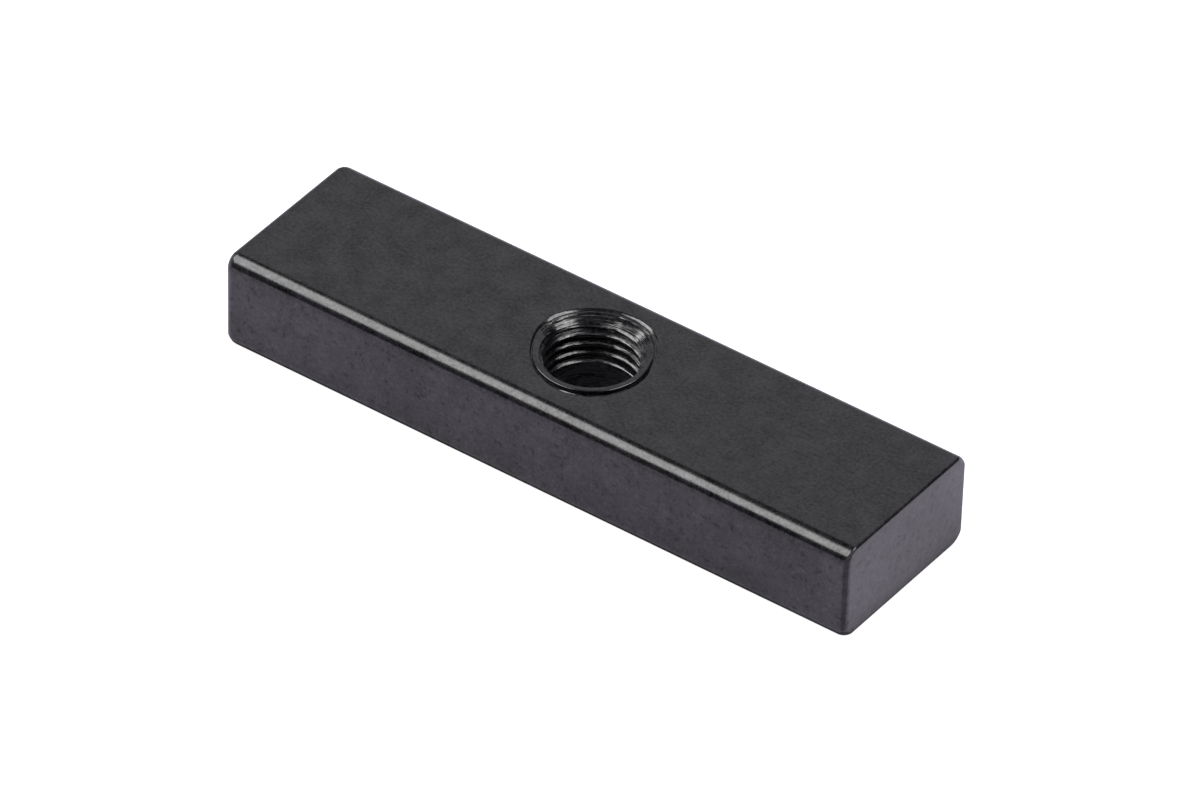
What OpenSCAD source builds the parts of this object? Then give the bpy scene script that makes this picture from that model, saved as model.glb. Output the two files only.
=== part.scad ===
// Bar T-slot nut: a short blackened steel bar that slides in the undercut of a
// T-slot and takes a clamping bolt or stud through the opening of the slot.
// It is one solid. X runs along the slot and Z along the tapped hole, whose
// axis meets the seating face at the origin.

/* [Bar] */
// Length along the slot
bar_length = 82; // [60:0.5:120]
// Width across the slot
bar_width = 21.5; // [18:0.5:30]
// Thickness, along the bolt
bar_height = 12.3; // [10:0.1:18]
// Radius of the four long edges
long_edge_r = 1.8; // [1:0.1:3]
// Radius of the edges round both ends
end_edge_r = 0.6; // [0.2:0.1:0.9]

/* [Tapped hole] */
// Outer diameter of the thread (M12)
thread_major_d = 12; // [10:0.5:12]
// Pitch of the thread (1.25 is the fine M12)
thread_pitch = 1.25; // [0.75:0.25:1.75]
// Width of the chamfer at the bottom of the bore
bottom_chamfer = 0.6; // [0.2:0.1:1]

/* [Mouth of the hole] */
// Diameter at which the top face starts to roll down into the mouth
rim_d = 14.8; // [14:0.1:16]
// Diameter of the shallow step that clears the thread
step_d = 12.9; // [12.3:0.1:13]
// Depth of that step below the top face
step_depth = 0.2; // [0.1:0.02:0.4]
// Slope of the step and of the lead-in below it, in degrees
step_slope = 3; // [1:1:10]
lead_in_slope = 45; // [30:5:60]

/* [Hidden] */
$fn = 96;

// The cutters run this far past the faces that they open.
clear = 1;
// An ISO thread leaves a bore this much smaller than its outer diameter.
bore_d = thread_major_d - 1.0825 * thread_pitch;
bore_r = bore_d / 2;
rim_r = rim_d / 2;
step_r = step_d / 2;
// The step ends half way between the thread's outer and inner radius.
step_inner_r = (thread_major_d + bore_d) / 4;
step_inner_depth = step_depth + (step_r - step_inner_r) * tan(step_slope);
lead_in_depth = step_inner_depth + (step_inner_r - bore_r) * tan(lead_in_slope);
// Radius of the roll from the top face down to the step: the arc leaves the
// face flat at rim_r and has dropped by the step's depth at step_r.
roll_w = rim_r - step_r;
roll_r = (roll_w * roll_w + step_depth * step_depth) / (2 * step_depth);

// A rectangle with rounded corners, centred on the origin.
module rounded_rectangle(w, h, r) {
    square([w, h - 2 * r], center = true);
    square([w - 2 * r, h], center = true);
    for (x = [-1, 1], y = [-1, 1])
        translate([x * (w / 2 - r), y * (h / 2 - r)]) circle(r);
}

// A round rod along X with its two end edges rounded.
module long_edge() {
    rotate([0, 90, 0]) rotate_extrude()
        intersection() {
            rounded_rectangle(2 * long_edge_r, bar_length, end_edge_r);
            translate([0, -bar_length / 2]) square([long_edge_r, bar_length]);
        }
}

// The bar without its hole: a rod in each long edge, filled out by two slabs
// that share the rods' rounded ends.
module bar() {
    core_w = bar_width - 2 * long_edge_r;
    core_h = bar_height - 2 * long_edge_r;
    translate([0, 0, bar_height / 2]) {
        for (y = [-1, 1], z = [-1, 1])
            translate([0, y * core_w / 2, z * core_h / 2]) long_edge();
        rotate([90, 0, 0]) linear_extrude(core_w, center = true)
            rounded_rectangle(bar_length, bar_height, end_edge_r);
        linear_extrude(core_h, center = true)
            rounded_rectangle(bar_length, bar_width, end_edge_r);
    }
}

// Everything that the tools take out of the hole, as one revolved profile.
module hole() {
    rotate_extrude() difference() {
        polygon([
            [0, -clear],
            [bore_r + bottom_chamfer + clear, -clear],
            [bore_r, bottom_chamfer],
            [bore_r, bar_height - lead_in_depth],
            [step_inner_r, bar_height - step_inner_depth],
            [step_r, bar_height - step_depth],
            [rim_r, bar_height - step_depth],
            [rim_r, bar_height + clear],
            [0, bar_height + clear]
        ]);
        translate([rim_r, bar_height - roll_r]) circle(roll_r);
    }
}

module nut() {
    color([0.14, 0.14, 0.15]) difference() {
        bar();
        hole();
    }
}

nut();
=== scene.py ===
import math

import bpy
from mathutils import Matrix, Quaternion, Vector


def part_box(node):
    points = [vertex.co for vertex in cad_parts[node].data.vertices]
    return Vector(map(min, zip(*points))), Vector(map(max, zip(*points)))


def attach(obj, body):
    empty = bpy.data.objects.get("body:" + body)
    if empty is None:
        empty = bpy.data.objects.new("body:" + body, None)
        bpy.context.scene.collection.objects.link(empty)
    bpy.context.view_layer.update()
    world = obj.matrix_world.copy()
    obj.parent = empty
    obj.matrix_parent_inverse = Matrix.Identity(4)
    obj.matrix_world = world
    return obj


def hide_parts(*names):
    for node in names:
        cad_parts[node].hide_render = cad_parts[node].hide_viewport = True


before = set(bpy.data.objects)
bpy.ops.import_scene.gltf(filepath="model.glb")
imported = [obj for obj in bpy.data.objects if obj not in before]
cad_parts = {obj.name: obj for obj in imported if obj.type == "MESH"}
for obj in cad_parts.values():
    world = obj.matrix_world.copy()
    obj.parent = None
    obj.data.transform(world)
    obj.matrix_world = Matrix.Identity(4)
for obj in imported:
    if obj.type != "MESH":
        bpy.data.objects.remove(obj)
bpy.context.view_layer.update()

MM = 0.001

# ---------------------------------------------------------------- sizes, mm
lo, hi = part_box("nut")
LENGTH = (hi[0] - lo[0]) / MM
WIDTH = (hi[1] - lo[1]) / MM
HEIGHT = (hi[2] - lo[2]) / MM

LONG_EDGE_R = 1.8
# The sawn ends were deburred by hand, so each of their edges has a radius of its own.
# The keys are the ends: -1 is the left end, at -X, and 1 is the right one.
#             top, front, back, bottom
END_EDGE_R = {
    -1: (1.0, 1.1, 1.3, 1.5),
    1: (0.35, 0.8, 0.4, 0.85),
}
# What is added to that radius where two of those edges meet, on a rounded long edge.
#             top front, bottom front, top back, bottom back
CORNER_R = {
    -1: (0.0, 0.15, 0.1, 0.0),
    1: (-0.15, 0.3, 0.25, 0.1),
}
END_LEAN = 0.023  # the right end leans out at the top by this much per mm of height
RIGHT_OUT = 0.06  # its middle stands this far past the CAD
LEFT_OUT = 0.2  # and the left end this far

THREAD_PITCH = 1.25
THREAD_MAJOR_R = 6.0
THREAD_BOTTOM = HEIGHT - 5.75  # height of the last full turn's lower edge
THREAD_PHASE = -0.117  # height of the crest's lower edge at angle 0, in pitches
BORE_R = 5.3234
BOTTOM_CHAMFER = 0.6

# The mouth of the hole from the top face inward, as (radius, depth) on three sides of it.
# A level ring surrounds the thread. A groove lies round it, wide on the near side. On the
# deep side the countersink has cut it to steps and a chamfer.
MOUTH_DEEP = math.radians(116)  # direction of the deep side, from +X
MOUTH_NEAR = math.radians(306)
NEAR_SIDE = [
    (8.2, 0), (7.5, 0), (7.35, 0.012), (7.26, 0.05), (7.22, 0.6), (7.1, 0.7), (6.5, 0.7),
    (6.42, 0.6), (6.38, 0.05), (6.32, 0.01), (6.25, 0), (5.98, 0.02), (5.72, 0.04), (5.7, 0.06),
]
PLAIN_SIDE = [
    (8.2, 0), (7.0, 0), (6.72, 0.01), (6.66, 0.05), (6.63, 0.3), (6.58, 0.35), (6.45, 0.35),
    (6.4, 0.3), (6.37, 0.05), (6.31, 0.01), (6.24, 0), (5.98, 0.02), (5.72, 0.04), (5.7, 0.06),
]
DEEP_SIDE = [
    (8.2, 0), (7.7, 0), (7.65, 0.012), (7.36, 0.175), (7.32, 0.185), (7.2, 0.185), (7.17, 0.19),
    (6.93, 0.31), (6.9, 0.32), (6.76, 0.32), (6.7, 0.335), (6.35, 0.535), (6.02, 0.72), (6.01, 0.73),
]
# The deep side's form holds this far round from its middle, then fades out over the rest.
DEEP_HALF, DEEP_FADE = math.radians(40), math.radians(58)
LEAD_IN_WALL, LEAD_IN_STEP = 0.12, 0.02
LEAD_IN_SLOPE = math.radians(30)


# ---------------------------------------------------------------- the nut's mesh
class Builder:
    """Collects points and faces in millimetres, for one mesh."""

    def __init__(self):
        self.points, self.faces = [], []

    def point(self, x, y, z):
        self.points.append((x, y, z))
        return len(self.points) - 1

    def face(self, ids):
        """Adds a face, unless its points fall together to less than a triangle."""
        ring = [a for i, a in enumerate(ids) if a != ids[i - 1]]
        if len(set(ring)) >= 3:
            self.faces.append(ring)


# Columns round the hole. Those on a square's side land at s * tan(angle), so the
# same stations serve the square patch round the hole and the rest of the bar.
SQUARE = WIDTH / 2 - LONG_EDGE_R
SUPPORT = 0.12  # a row this close to each rounded edge keeps the flat faces flat in the shading
OCTANT_STEPS = 32
octant = [math.tan(math.pi / 4 * i / OCTANT_STEPS) for i in range(OCTANT_STEPS + 1)]
octant.insert(-1, 1 - SUPPORT / SQUARE)
octant.sort()
side = [-t for t in octant[:0:-1]] + octant
columns = []
for quarter in range(4):
    for t in side[:-1]:
        columns.append(quarter * math.pi / 2 + math.atan(t))
n_columns = len(columns)


def on_square(angle, half):
    c, s = math.cos(angle), math.sin(angle)
    m = max(abs(c), abs(s))
    return half * c / m, half * s / m


LONG_EDGE_STEPS = 20


def section():
    """The bar's cross-section as (y, z, normal y, normal z), top first, anticlockwise seen from +X."""
    out = []
    cy, cz, r = WIDTH / 2 - LONG_EDGE_R, HEIGHT - LONG_EDGE_R, LONG_EDGE_R
    flat_z = [cz, cz - SUPPORT, HEIGHT * 0.65, HEIGHT / 2, HEIGHT * 0.35, r + SUPPORT, r]
    top = [SQUARE * t for t in side]

    def arc(y0, z0, start):
        for i in range(1, LONG_EDGE_STEPS):
            a = start + math.pi / 2 * i / LONG_EDGE_STEPS
            out.append((y0 + r * math.cos(a), z0 + r * math.sin(a), math.cos(a), math.sin(a)))

    out += [(y, HEIGHT, 0, 1) for y in reversed(top)]
    arc(-cy, cz, math.pi / 2)
    out += [(-WIDTH / 2, z, -1, 0) for z in flat_z]
    arc(-cy, r, math.pi)
    out += [(y, 0, 0, -1) for y in top]
    arc(cy, r, 1.5 * math.pi)
    out += [(WIDTH / 2, z, 1, 0) for z in reversed(flat_z)]
    arc(cy, cz, 0)
    return out


bar = Builder()
half_length = LENGTH / 2
outline = section()


def end_ring(sign, turn, behind=0.0):
    """Ring of points at one end. The angle turn rolls it from the bar's sides, at 0, onto its end."""
    out = []
    for y, z, ny, nz in outline:
        top, front, rear, bottom = END_EDGE_R[sign]
        r = nz * nz * (top if nz > 0 else bottom) + ny * ny * (front if ny < 0 else rear)
        r += 4 * nz * nz * ny * ny * CORNER_R[sign][(nz < 0) + 2 * (ny > 0)]
        inset = r * (1 - math.cos(turn))
        z -= nz * inset
        x = half_length - r * (1 - math.sin(turn)) - behind
        if sign > 0:
            x += RIGHT_OUT + END_LEAN * (z - HEIGHT / 2)
        else:
            x += LEFT_OUT
        out.append(bar.point(sign * x, y - ny * inset, z))
    return out


END_STEPS = 14
ALONG_STEPS = 12
END_CLEAR = 2.6  # the rows along the bar stop this far from its ends, clear of their rounding
flat_length = half_length - END_CLEAR
along = [-(flat_length - (flat_length - SQUARE) * i / ALONG_STEPS) for i in range(ALONG_STEPS)]
along += [SQUARE * t for t in side[:-1]]
along += [-x for x in along if x <= -SQUARE + 1e-9][::-1]

turns_end = [math.pi / 2 * i / END_STEPS for i in range(END_STEPS + 1)]
rings = [end_ring(-1, t) for t in reversed(turns_end)] + [end_ring(-1, 0, SUPPORT)]
rings += [[bar.point(x, y, z) for y, z, ny, nz in outline] for x in along]
rings += [end_ring(1, 0, SUPPORT)] + [end_ring(1, t) for t in turns_end]
stations = [-half_length] * (END_STEPS + 2) + along + [half_length] * (END_STEPS + 2)
ring_size = len(outline)
top_ids = len(side)
bottom_start = next(i for i, p in enumerate(outline) if p[3] == -1)
in_square = [abs(x) <= SQUARE + 1e-9 for x in stations]
for i in range(len(stations) - 1):
    for j in range(ring_size):
        k = (j + 1) % ring_size
        if in_square[i] and in_square[i + 1]:
            if j < top_ids - 1 or bottom_start <= j < bottom_start + top_ids - 1:
                continue
        bar.face([rings[i][j], rings[i][k], rings[i + 1][k], rings[i + 1][j]])
bar.face(rings[0][::-1])
bar.face(rings[-1])

x_index = {round(x, 6): i for i, x in enumerate(stations) if abs(x) <= SQUARE + 1e-9}
y_top = {round(p[0], 6): i for i, p in enumerate(outline) if i < top_ids}
y_bottom = {
    round(p[0], 6): i for i, p in enumerate(outline) if bottom_start <= i < bottom_start + top_ids
}


def boundary(table):
    """The bar's own points round the square that is left open for the hole."""
    out = []
    for a in columns:
        x, y = on_square(a, SQUARE)
        out.append(rings[x_index[round(x, 6)]][table[round(y, 6)]])
    return out


def join(outer, inner, flip=False):
    """A band of faces between two rings."""
    for j in range(n_columns):
        k = (j + 1) % n_columns
        corners = [outer[j], outer[k], inner[k], inner[j]]
        bar.face(corners[::-1] if flip else corners)


def patch(outer, z, circle_r, flip=False):
    """Rows of points from the square's side in to a circle."""
    last = outer
    first = SUPPORT / (SQUARE - circle_r)
    shares = [first, (1 + first) / 2] if first < 0.5 else [0.5]
    for share in shares:
        ring = []
        for a in columns:
            x0, y0 = on_square(a, SQUARE)
            x1, y1 = circle_r * math.cos(a), circle_r * math.sin(a)
            ring.append(bar.point(x0 + (x1 - x0) * share, y0 + (y1 - y0) * share, z))
        join(last, ring, flip)
        last = ring
    return last


def circle(r, z):
    return [bar.point(r * math.cos(a), r * math.sin(a), z) for a in columns]


# the top face, and the mouth
def smooth(t):
    t = max(0.0, min(1.0, t))
    return t * t * (3 - 2 * t)


def turned_from(a, middle):
    return abs((a - middle + math.pi) % (2 * math.pi) - math.pi)


deep = [1 - smooth((turned_from(a, MOUTH_DEEP) - DEEP_HALF) / DEEP_FADE) for a in columns]
near = [max(0.0, math.cos(turned_from(a, MOUTH_NEAR))) ** 1.8 for a in columns]


def finer(table):
    """The table with each of its slopes divided in three."""
    out = [table[0]]
    for (r0, d0), (r1, d1) in zip(table, table[1:]):
        out += [(r0 + (r1 - r0) * t / 3, d0 + (d1 - d0) * t / 3) for t in (1, 2, 3)]
    return out


mouth = list(zip(finer(NEAR_SIDE), finer(PLAIN_SIDE), finer(DEEP_SIDE)))


def mouth_row(i):
    """Radius and height of the mouth's row i in every column."""
    out = []
    for w_deep, w_near in zip(deep, near):
        weights = (1 - w_deep) * w_near, (1 - w_deep) * (1 - w_near), w_deep
        r, depth = (sum(w * v for w, v in zip(weights, values)) for values in zip(*mouth[i]))
        out.append((r, HEIGHT - depth))
    return out


def mouth_ring(row):
    return [bar.point(r * math.cos(a), r * math.sin(a), z) for a, (r, z) in zip(columns, row)]


RIM_R = mouth[0][0][0]
last = patch(boundary(y_top), HEIGHT, RIM_R + 0.05)
for i in range(len(mouth) - 1):
    ring = mouth_ring(mouth_row(i))
    join(last, ring)
    last = ring
throat = mouth_row(-1)
top_ring = mouth_ring(throat)
join(last, top_ring)


# the thread: rows follow the helix, so its edges are clean
CREST, FLANK, ROOT = 1 / 4, 5 / 16, 1 / 8  # heights on the profile, in pitches
THREAD_DEPTH = THREAD_MAJOR_R - BORE_R
BREAK = 0.02  # the crest's edges are broken by this much, in pitches
# rows of one turn, as height in pitches and share of the thread's depth
profile_rows = (
    [(0.0, 0.05), (BREAK, 0.0)]
    + [(CREST * f, 0.0) for f in (0.35, 0.65)]
    + [(CREST - BREAK, 0.0), (CREST, 0.05)]
    + [(CREST + FLANK * f, f) for f in (0.2, 0.4, 0.6, 0.8, 0.93)]
    + [(CREST + FLANK + ROOT * f, g) for f, g in ((0.2, 0.985), (0.5, 1.0), (0.8, 0.985))]
    + [(CREST + FLANK + ROOT + FLANK * f, 1 - f) for f in (0.07, 0.2, 0.4, 0.6, 0.8)]
)
ROWS = len(profile_rows)
RUN_OUT = 1.0 * THREAD_PITCH
z_low = THREAD_BOTTOM - 0.05


def wall_r(share, z):
    """Radius of the thread where its profile is this deep, cut off by the run-out."""
    left = max(0.0, min(1.0, (z - THREAD_BOTTOM) / RUN_OUT))
    return BORE_R + THREAD_DEPTH * min(share, left)


def lead_in_r(j, z):
    """Radius of the lead-in of column j: a short steep wall, then a cone."""
    r, z_top = throat[j]
    depth = z_top - z
    if depth < LEAD_IN_WALL:
        return r - LEAD_IN_STEP * depth / LEAD_IN_WALL
    return r - LEAD_IN_STEP - (depth - LEAD_IN_WALL) / math.tan(LEAD_IN_SLOPE)


def phase(angle):
    return (angle % (2 * math.pi)) / (2 * math.pi)


bottom_ring = circle(BORE_R, z_low)

order = sorted(range(n_columns), key=lambda j: phase(columns[j]))
first = math.floor(z_low / THREAD_PITCH) - 2
turns = math.ceil(HEIGHT / THREAD_PITCH) + 1 - first
made = {}


def wall_point(j, k):
    """The point of column j on helical row k; rows past either end are that end's point."""
    turn, row = divmod(k, ROWS)
    u, share = profile_rows[row]
    z = THREAD_PITCH * (first + turn + u + THREAD_PHASE + phase(columns[j]))
    if z >= throat[j][1] - 1e-4:
        return top_ring[j]
    if z <= z_low + 1e-4:
        return bottom_ring[j]
    if (j, k) not in made:
        r = max(wall_r(share, z), lead_in_r(j, z), BORE_R)
        a = columns[j]
        made[j, k] = bar.point(r * math.cos(a), r * math.sin(a), z)
    return made[j, k]


for i in range(n_columns):
    j, j2 = order[i], order[(i + 1) % n_columns]
    shift = ROWS if i == n_columns - 1 else 0  # the last column meets the first one turn higher
    for k in range(turns * ROWS):
        bar.face(
            [wall_point(j, k), wall_point(j, k + 1), wall_point(j2, k + 1 + shift), wall_point(j2, k + shift)]
        )

# the plain bore, its bottom chamfer and the bottom face
last = bottom_ring
for z in (z_low - 0.2, 3.0, BOTTOM_CHAMFER + 0.05):
    ring = circle(BORE_R, z)
    join(last, ring)
    last = ring
for f in (0.0, 0.1, 0.5, 0.9, 1.0):
    ring = circle(BORE_R + BOTTOM_CHAMFER * f, BOTTOM_CHAMFER * (1 - f))
    join(last, ring)
    last = ring
bottom_inner = last
last = patch(boundary(y_bottom), 0.0, BORE_R + BOTTOM_CHAMFER, flip=True)
join(last, bottom_inner, flip=True)

SHARP = math.radians(32)  # edges that turn by more than this aren't shaded smooth
used = sorted({i for f in bar.faces for i in f})
renumber = {old: new for new, old in enumerate(used)}
mesh = bpy.data.meshes.new("t_slot_nut")
mesh.from_pydata(
    [tuple(c * MM for c in bar.points[i]) for i in used],
    [],
    [[renumber[i] for i in f] for f in bar.faces],
)
mesh.polygons.foreach_set("use_smooth", [True] * len(mesh.polygons))
mesh.set_sharp_from_angle(angle=SHARP)
nut = bpy.data.objects.new("t_slot_nut", mesh)
bpy.context.scene.collection.objects.link(nut)


# ---------------------------------------------------------------- material
class Nodes:
    """Short calls for building a node tree."""

    def __init__(self, tree):
        self.tree = tree
        tree.nodes.clear()

    def add(self, kind, **inputs):
        node = self.tree.nodes.new(kind)
        for key, value in inputs.items():
            self.put(node, key.replace("_", " "), value)
        return node

    def put(self, node, name, value):
        socket = node.inputs[int(name)] if name.isdigit() else node.inputs[name]
        if isinstance(value, bpy.types.NodeSocket):
            self.tree.links.new(value, socket)
        else:
            socket.default_value = value

    def noise(self, vector, scale, detail, roughness):
        kind = "ShaderNodeTexNoise"
        return self.add(kind, Vector=vector, Scale=scale, Detail=detail, Roughness=roughness).outputs[0]

    def math(self, operation, *values):
        node = self.tree.nodes.new("ShaderNodeMath")
        node.operation = operation
        for i, value in enumerate(values):
            self.put(node, str(i), value)
        return node.outputs[0]

    def times(self, product, *factors):
        for factor in factors:
            product = self.math("MULTIPLY", product, factor)
        return product

    def plus(self, total, *values):
        for value in values:
            total = self.math("ADD", total, value)
        return total

    def less(self, value, amount, share=1.0):
        """The value less amount * share of it."""
        taken = amount if share == 1.0 else self.times(amount, share)
        return self.times(value, self.math("SUBTRACT", 1.0, taken))

    def length(self, x, y):
        both = self.add("ShaderNodeCombineXYZ", X=x, Y=y).outputs[0]
        node = self.tree.nodes.new("ShaderNodeVectorMath")
        node.operation = "LENGTH"
        self.put(node, "0", both)
        return node.outputs["Value"]

    def step(self, value, low, high):
        """0 below low, 1 above high, smooth between. The other way round where low is above high."""
        node = self.tree.nodes.new("ShaderNodeMapRange")
        node.interpolation_type = "SMOOTHSTEP"
        self.put(node, "0", value)
        self.put(node, "1", low)
        self.put(node, "2", high)
        return node.outputs[0]

    def step_down(self, z, low, high):
        """The same for a height, from these depths in mm below the top face."""
        return self.step(z, (HEIGHT - low) * MM, (HEIGHT - high) * MM)

    def ramp(self, value, stops):
        node = self.tree.nodes.new("ShaderNodeValToRGB")
        self.tree.links.new(value, node.inputs[0])
        e = node.color_ramp.elements
        while len(e) < len(stops):
            e.new(0.5)
        for item, (at, colour) in zip(e, stops):
            item.position = at
            item.color = (colour, colour, colour, 1) if isinstance(colour, float) else (*colour, 1)
        return node.outputs[0]


steel = bpy.data.materials.new("blackened_steel")
steel.use_nodes = True
n = Nodes(steel.node_tree)
place = n.add("ShaderNodeTexCoord").outputs["Object"]
x, y, z = n.add("ShaderNodeSeparateXYZ", Vector=place).outputs
radius = n.length(x, y)
turn = n.math("ARCTAN2", y, x)

# the oxide's grain, from fine to coarse; scales are per metre
speckle = n.noise(place, 2600.0, 3.0, 0.6)
flecks = n.noise(place, 1250.0, 4.0, 0.66)
patches = n.noise(place, 330.0, 5.0, 0.62)
wave = n.noise(place, 260.0, 2.0, 0.5)

# turning marks in the mouth: noise that changes fast outward and down, slowly round
MARKS_SCALE = 4400.0
spun = n.add(
    "ShaderNodeCombineXYZ",
    X=n.times(radius, MARKS_SCALE),
    Y=n.times(z, MARKS_SCALE),
    Z=n.times(turn, 3.5),
)
marks = n.noise(spun.outputs[0], 1.0, 2.0, 0.55)
deep_side = n.step(n.math("COSINE", n.math("SUBTRACT", turn, MOUTH_DEEP)), 0.2, 0.6)
turned = n.step(radius, 7.85 * MM, 7.6 * MM)
turned = n.times(turned, n.math("MAXIMUM", deep_side, n.step_down(z, 0.25, 0.45)))
marked = n.times(turned, n.plus(n.times(n.step_down(z, 0.15, 0.22), 0.7), 0.3))

# painted shade: deeper than about 1 mm, the gloss of the thread's roots and the outer parts of its flanks is
# cut by 0.8, darkening their reflections as the crests above would shade them
root = n.times(n.step(radius, 5.35 * MM, 5.65 * MM), n.step(radius, 6.3 * MM, 6.1 * MM))
root = n.times(root, n.step_down(z, 0.98, 1.1))

# the gloss is cut by 0.7 within about 10° of 87° on the deep side, from about 0.2 to 0.9 mm deep, which
# darkens its reflections there
DIMMED_TURN = math.radians(87)
dimmed_band = n.step(n.math("COSINE", n.math("SUBTRACT", turn, DIMMED_TURN)), 0.975, 0.993)
dimmed_band = n.times(dimmed_band, n.step_down(z, 0.17, 0.24), n.step_down(z, 1.0, 0.8))

# the flecks are stronger on the bar's sides than on its top
mix = n.plus(n.times(speckle, 0.58), n.times(patches, 0.42))
colour = n.ramp(mix, [(0.38, (0.0016, 0.0015, 0.002)), (0.62, (0.0165, 0.0158, 0.019))])
flecked = n.plus(n.times(n.step_down(z, 0.0, 1.5), 0.6), 0.2)
flecks = n.ramp(flecks, [(0.34, 0.0), (0.42, 0.5), (0.58, 0.6), (0.68, 1.0)])
flecks = n.times(n.math("SUBTRACT", flecks, 0.54), flecked)
gloss = n.times(n.ramp(mix, [(0.34, 0.39), (0.66, 0.62)]), n.plus(flecks, 1.0))
# painted shade in the thread's roots
gloss = n.less(gloss, root, 0.8)
gloss = n.times(gloss, n.plus(1.0, n.times(turned, 0.5)))
gloss = n.less(gloss, dimmed_band, 0.7)
gloss = n.less(gloss, n.times(marked, n.ramp(marks, [(0.42, 0.8), (0.54, 0.0)])))
rough = n.ramp(patches, [(0.3, 0.17), (0.7, 0.23)])
rough = n.math("SUBTRACT", rough, n.times(turned, 0.06))

# the relief that goes with them
bump = n.add("ShaderNodeBump", Strength=0.35, Distance=0.03 * MM, Height=wave)
bump = n.add("ShaderNodeBump", Strength=0.5, Distance=0.0085 * MM, Height=speckle, Normal=bump.outputs[0])
bump = n.add(
    "ShaderNodeBump",
    Strength=n.times(marked, 0.8),
    Distance=0.06 * MM,
    Height=marks,
    Normal=bump.outputs[0],
)
shader = n.add(
    "ShaderNodeBsdfPrincipled",
    Base_Color=colour,
    Metallic=0.0,
    Roughness=rough,
    IOR=1.55,
    Specular_IOR_Level=gloss,
    Normal=bump.outputs[0],
)
n.add("ShaderNodeOutputMaterial", Surface=shader.outputs[0])
mesh.materials.append(steel)

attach(nut, "root")
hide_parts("nut")


# ---------------------------------------------------------------- studio
AZIMUTH, ELEVATION, ROLL = math.radians(35.87), math.radians(39.23), math.radians(0.96)


def way(heading, elevation):
    """Direction from the nut: heading in degrees, clockwise from straight away from the camera."""
    h, e = AZIMUTH - math.radians(heading) + math.pi / 2, math.radians(elevation)
    return Vector((math.cos(h) * math.cos(e), math.sin(h) * math.cos(e), math.sin(e)))


def stage_mesh(name, points, faces):
    """A mesh object of the studio, with an empty node material."""
    shape = bpy.data.meshes.new(name)
    shape.from_pydata(points, [], faces)
    thing = bpy.data.objects.new(name, shape)
    bpy.context.scene.collection.objects.link(thing)
    material = bpy.data.materials.new(name)
    material.use_nodes = True
    shape.materials.append(material)
    return thing, Nodes(material.node_tree)


def board(name, headings, elevations, distance, level):
    """A curved board of the studio, seen in the nut's gloss and nowhere else."""
    nh = 1 + round(abs(headings[1] - headings[0]) / 5)
    ne = 1 + round(abs(elevations[1] - elevations[0]) / 5)
    points = []
    for i in range(nh + 1):
        for j in range(ne + 1):
            h = headings[0] + (headings[1] - headings[0]) * i / nh
            e = elevations[0] + (elevations[1] - elevations[0]) * j / ne
            points.append(way(h, e) * distance)
    faces = [
        (i * (ne + 1) + j, i * (ne + 1) + j + 1, (i + 1) * (ne + 1) + j + 1, (i + 1) * (ne + 1) + j)
        for i in range(nh)
        for j in range(ne)
    ]
    thing, k = stage_mesh(name, points, faces)
    glow = k.add("ShaderNodeEmission", Color=(1, 0.985, 1.04, 1), Strength=level)
    k.add("ShaderNodeOutputMaterial", Surface=glow.outputs[0])
    thing.visible_camera = False
    thing.visible_diffuse = False
    thing.visible_shadow = False
    thing.visible_transmission = False


def softbox(name, shape, direction, distance, spread, radiance, roll=0.0):
    """A soft box that faces the nut: spread is the tangent of its two half-angles."""
    data = bpy.data.lights.new(name, "AREA")
    data.shape = shape
    data.size, data.size_y = 2 * spread[0] * distance, 2 * spread[1] * distance
    area = data.size * data.size_y * (math.pi / 4 if shape == "ELLIPSE" else 1)
    data.energy = radiance * math.pi * area
    lamp = bpy.data.objects.new(name, data)
    lamp.location = direction * distance
    lamp.rotation_mode = "QUATERNION"
    lamp.rotation_quaternion = direction.to_track_quat("Z", "Y") @ Quaternion((0, 0, 1), math.radians(roll))
    bpy.context.scene.collection.objects.link(lamp)


# angles in degrees, distances in metres
softbox("softbox_left", "RECTANGLE", way(-92.6, 50.7), 0.45, (0.58, 0.29), 5.3, 4)
softbox("softbox_right", "ELLIPSE", way(89, 62), 0.9, (0.28, 0.28), 5.5)
DARK = 0.03
board("panel_back", (-25, 25), (28, 51), 1.1, 0.62)
board("panel_low", (-36, 36), (0, 28), 1.3, 0.42)
board("dark_back_left", (-60, -25), (28, 72), 1.3, DARK)
board("dark_back_top", (-25, 36), (51, 72), 1.3, DARK)
board("dark_back_right", (36, 95), (0, 72), 1.3, DARK)
board("dark_left", (-140, -92), (0, 34), 1.3, 0.01)
board("dark_top", (-180, 180), (68, 90), 1.3, DARK)

# The floor is pale paper. Camera rays see it at the backdrop's white. Gloss sees part of
# that glow too, but none of it under the nut, where the paper is in the nut's shade.
FLOOR_HALF = 6.0  # m
FLOOR_Z = -0.02 * MM  # just below the nut, so that the two faces don't coincide
floor_corners = [
    (FLOOR_HALF * u, FLOOR_HALF * v, FLOOR_Z) for u, v in ((-1, -1), (1, -1), (1, 1), (-1, 1))
]
floor, k = stage_mesh("floor", floor_corners, [(0, 1, 2, 3)])
path = k.add("ShaderNodeLightPath")
camera_ray = path.outputs["Is Camera Ray"]
gloss_ray = k.math("MAXIMUM", path.outputs["Is Glossy Ray"], path.outputs["Is Transmission Ray"])

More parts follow.
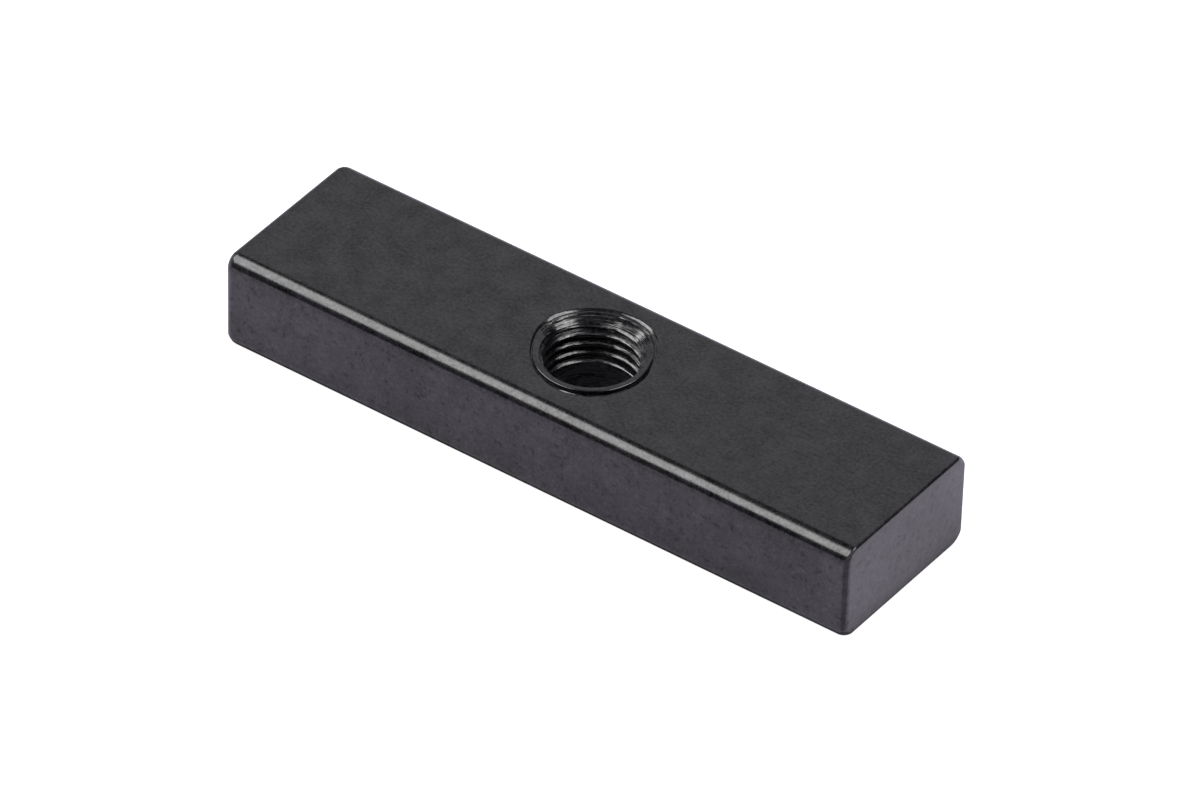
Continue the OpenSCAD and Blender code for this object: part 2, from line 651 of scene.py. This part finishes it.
# where a spot of the floor lies from the nut's footprint
x, y, z = k.add("ShaderNodeSeparateXYZ", Vector=k.add("ShaderNodeTexCoord").outputs["Object"]).outputs
gap_x = k.math("MAXIMUM", k.math("SUBTRACT", k.math("ABSOLUTE", x), LENGTH / 2 * MM), 0.0)
gap_y = k.math("MAXIMUM", k.math("SUBTRACT", k.math("ABSOLUTE", y), WIDTH / 2 * MM), 0.0)
gap = k.length(gap_x, gap_y)
clear = k.step(gap, -0.8 * MM, 1.2 * MM)
beside = k.step(y, (-WIDTH / 2 - 1) * MM, (-WIDTH / 2 + 1) * MM)
corner = k.step(x, (LENGTH / 2 - 1) * MM, (LENGTH / 2 + 1) * MM)
beyond = k.step(x, LENGTH / 2 * MM, (LENGTH / 2 + 4) * MM)

# The glow that gloss sees is brightest past the right end, where it dims towards the back,
# and rises a little along the bar towards both ends.
FLOOR_GLOW = 0.219
side_glow = k.plus(k.times(corner, 0.485), k.times(beyond, 0.18))
side_glow = k.times(side_glow, k.math("SUBTRACT", 1.11, k.times(k.step(y, -10 * MM, 18 * MM), 0.22)))
side_glow = k.math("SUBTRACT", k.times(beside, side_glow), k.times(corner, 0.36))
near_glow = k.times(k.step(x, 28 * MM, 36 * MM), 0.18)
left_glow = k.times(k.step(x, -22 * MM, -45 * MM), 0.08)
floor_glow = k.plus(k.plus(side_glow, near_glow), k.plus(left_glow, FLOOR_GLOW))
seen = k.math("MAXIMUM", camera_ray, k.times(gloss_ray, clear, floor_glow))
tint = k.ramp(camera_ray, [(0.0, (1.0, 0.93, 1.09)), (1.0, (1.0, 1.0, 1.0))])
glow = k.add("ShaderNodeEmission", Color=tint, Strength=seen)
# painted shadow: the paper's colour is near black under the nut's footprint, and pale from 0.2 mm beyond it
shade = k.ramp(k.step(gap, 0.0, 0.2 * MM), [(0.0, (0.02, 0.02, 0.02)), (1.0, (0.5, 0.46, 0.545))])
matt = k.add("ShaderNodeBsdfDiffuse", Color=shade)
both = k.add("ShaderNodeAddShader")
k.put(both, "0", glow.outputs[0])
k.put(both, "1", matt.outputs[0])
k.add("ShaderNodeOutputMaterial", Surface=both.outputs[0])

# The room is white to the camera, three quarters as bright in gloss, and dim as a light.
ROOM_LIGHT, ROOM_GLOSS, ROOM_CAMERA = 0.15, 0.6, 0.85
world = bpy.data.worlds.new("studio")
bpy.context.scene.world = world
world.use_nodes = True
k = Nodes(world.node_tree)
path = k.add("ShaderNodeLightPath")
gloss_ray = k.math("MAXIMUM", path.outputs["Is Glossy Ray"], path.outputs["Is Transmission Ray"])
white = k.times(path.outputs["Is Camera Ray"], ROOM_CAMERA)
level = k.plus(k.times(gloss_ray, ROOM_GLOSS), k.plus(white, ROOM_LIGHT))
room = k.add("ShaderNodeBackground", Color=(1, 1, 1, 1), Strength=level)
k.add("ShaderNodeOutputWorld", Surface=room.outputs[0])

# ---------------------------------------------------------------- camera
DISTANCE = 18.73 * LENGTH  # mm
SENSOR = 36.0  # mm
LENS = 432.607  # mm
# The camera's axis passes the nut's middle at this distance to its right and below it, in mm.
AIM_RIGHT, AIM_DOWN = 0.884, 0.192
back = Vector(
    (
        math.sin(AZIMUTH) * math.cos(ELEVATION),
        -math.cos(AZIMUTH) * math.cos(ELEVATION),
        math.sin(ELEVATION),
    )
)
right = Vector((math.cos(AZIMUTH), math.sin(AZIMUTH), 0))
up = back.cross(right)
right, up = (
    right * math.cos(ROLL) + up * math.sin(ROLL),
    up * math.cos(ROLL) - right * math.sin(ROLL),
)
place = (Vector((0, 0, HEIGHT / 2)) + back * DISTANCE + right * AIM_RIGHT - up * AIM_DOWN) * MM
camera_data = bpy.data.cameras.new("camera")
camera_data.sensor_width = SENSOR
camera_data.lens = LENS
camera_data.clip_start, camera_data.clip_end = 0.05, 50.0
camera = bpy.data.objects.new("camera", camera_data)
bpy.context.scene.collection.objects.link(camera)
camera.matrix_world = Matrix(
    (
        (right.x, up.x, back.x, place.x),
        (right.y, up.y, back.y, place.y),
        (right.z, up.z, back.z, place.z),
        (0, 0, 0, 1),
    )
)
bpy.context.scene.camera = camera
bpy.context.scene.view_settings.view_transform = "Standard"
